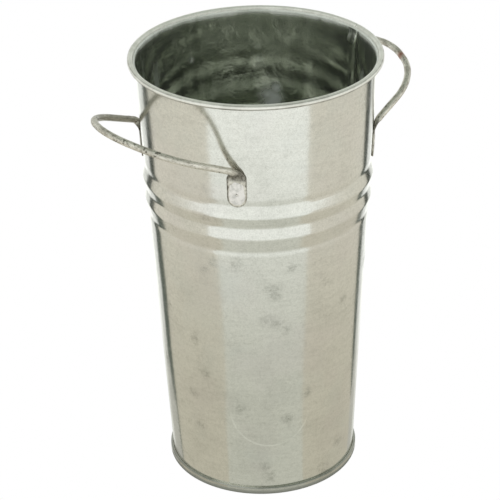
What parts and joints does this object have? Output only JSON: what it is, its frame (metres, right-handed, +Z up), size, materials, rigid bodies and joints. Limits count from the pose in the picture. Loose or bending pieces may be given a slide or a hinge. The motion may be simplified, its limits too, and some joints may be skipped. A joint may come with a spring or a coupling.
{
  "type": "florist bucket",
  "caption": "Tall tapered galvanised steel bucket for cut flowers, with a wired rim, rolled beads round the wall and fixed wire handles at the sides.",
  "frame": {"origin": "centre of the base, on the surface that the bucket stands on", "axes": "+Z up along the bucket's axis, X through the two handles with the lock seam 5 degrees from the +X side, Y across them"},
  "size_m": [0.1965, 0.14, 0.252],
  "materials": {
    "galvanised_sheet": "dull bright zinc coating, fine grained, with darker mottled patches",
    "galvanised_wire": "weathered zinc, slightly rough, with small dark nicks",
    "bare_wire": "drawn steel wire, hidden in the rim",
    "zinc_touch_up": "pale matt zinc-rich paint, uneven",
    "seam_sealant": "dull grey sealing compound"
  },
  "bodies": {
    "root": {"wall": "galvanised_sheet", "rim_wire": "bare_wire", "base_pan": "galvanised_sheet", "base_sealant": "seam_sealant", "handle_left": "galvanised_wire", "handle_right": "galvanised_wire", "weld_left_front": "zinc_touch_up", "weld_left_back": "zinc_touch_up", "weld_right_front": "zinc_touch_up", "weld_right_back": "zinc_touch_up"}
  },
  "joints": []
}
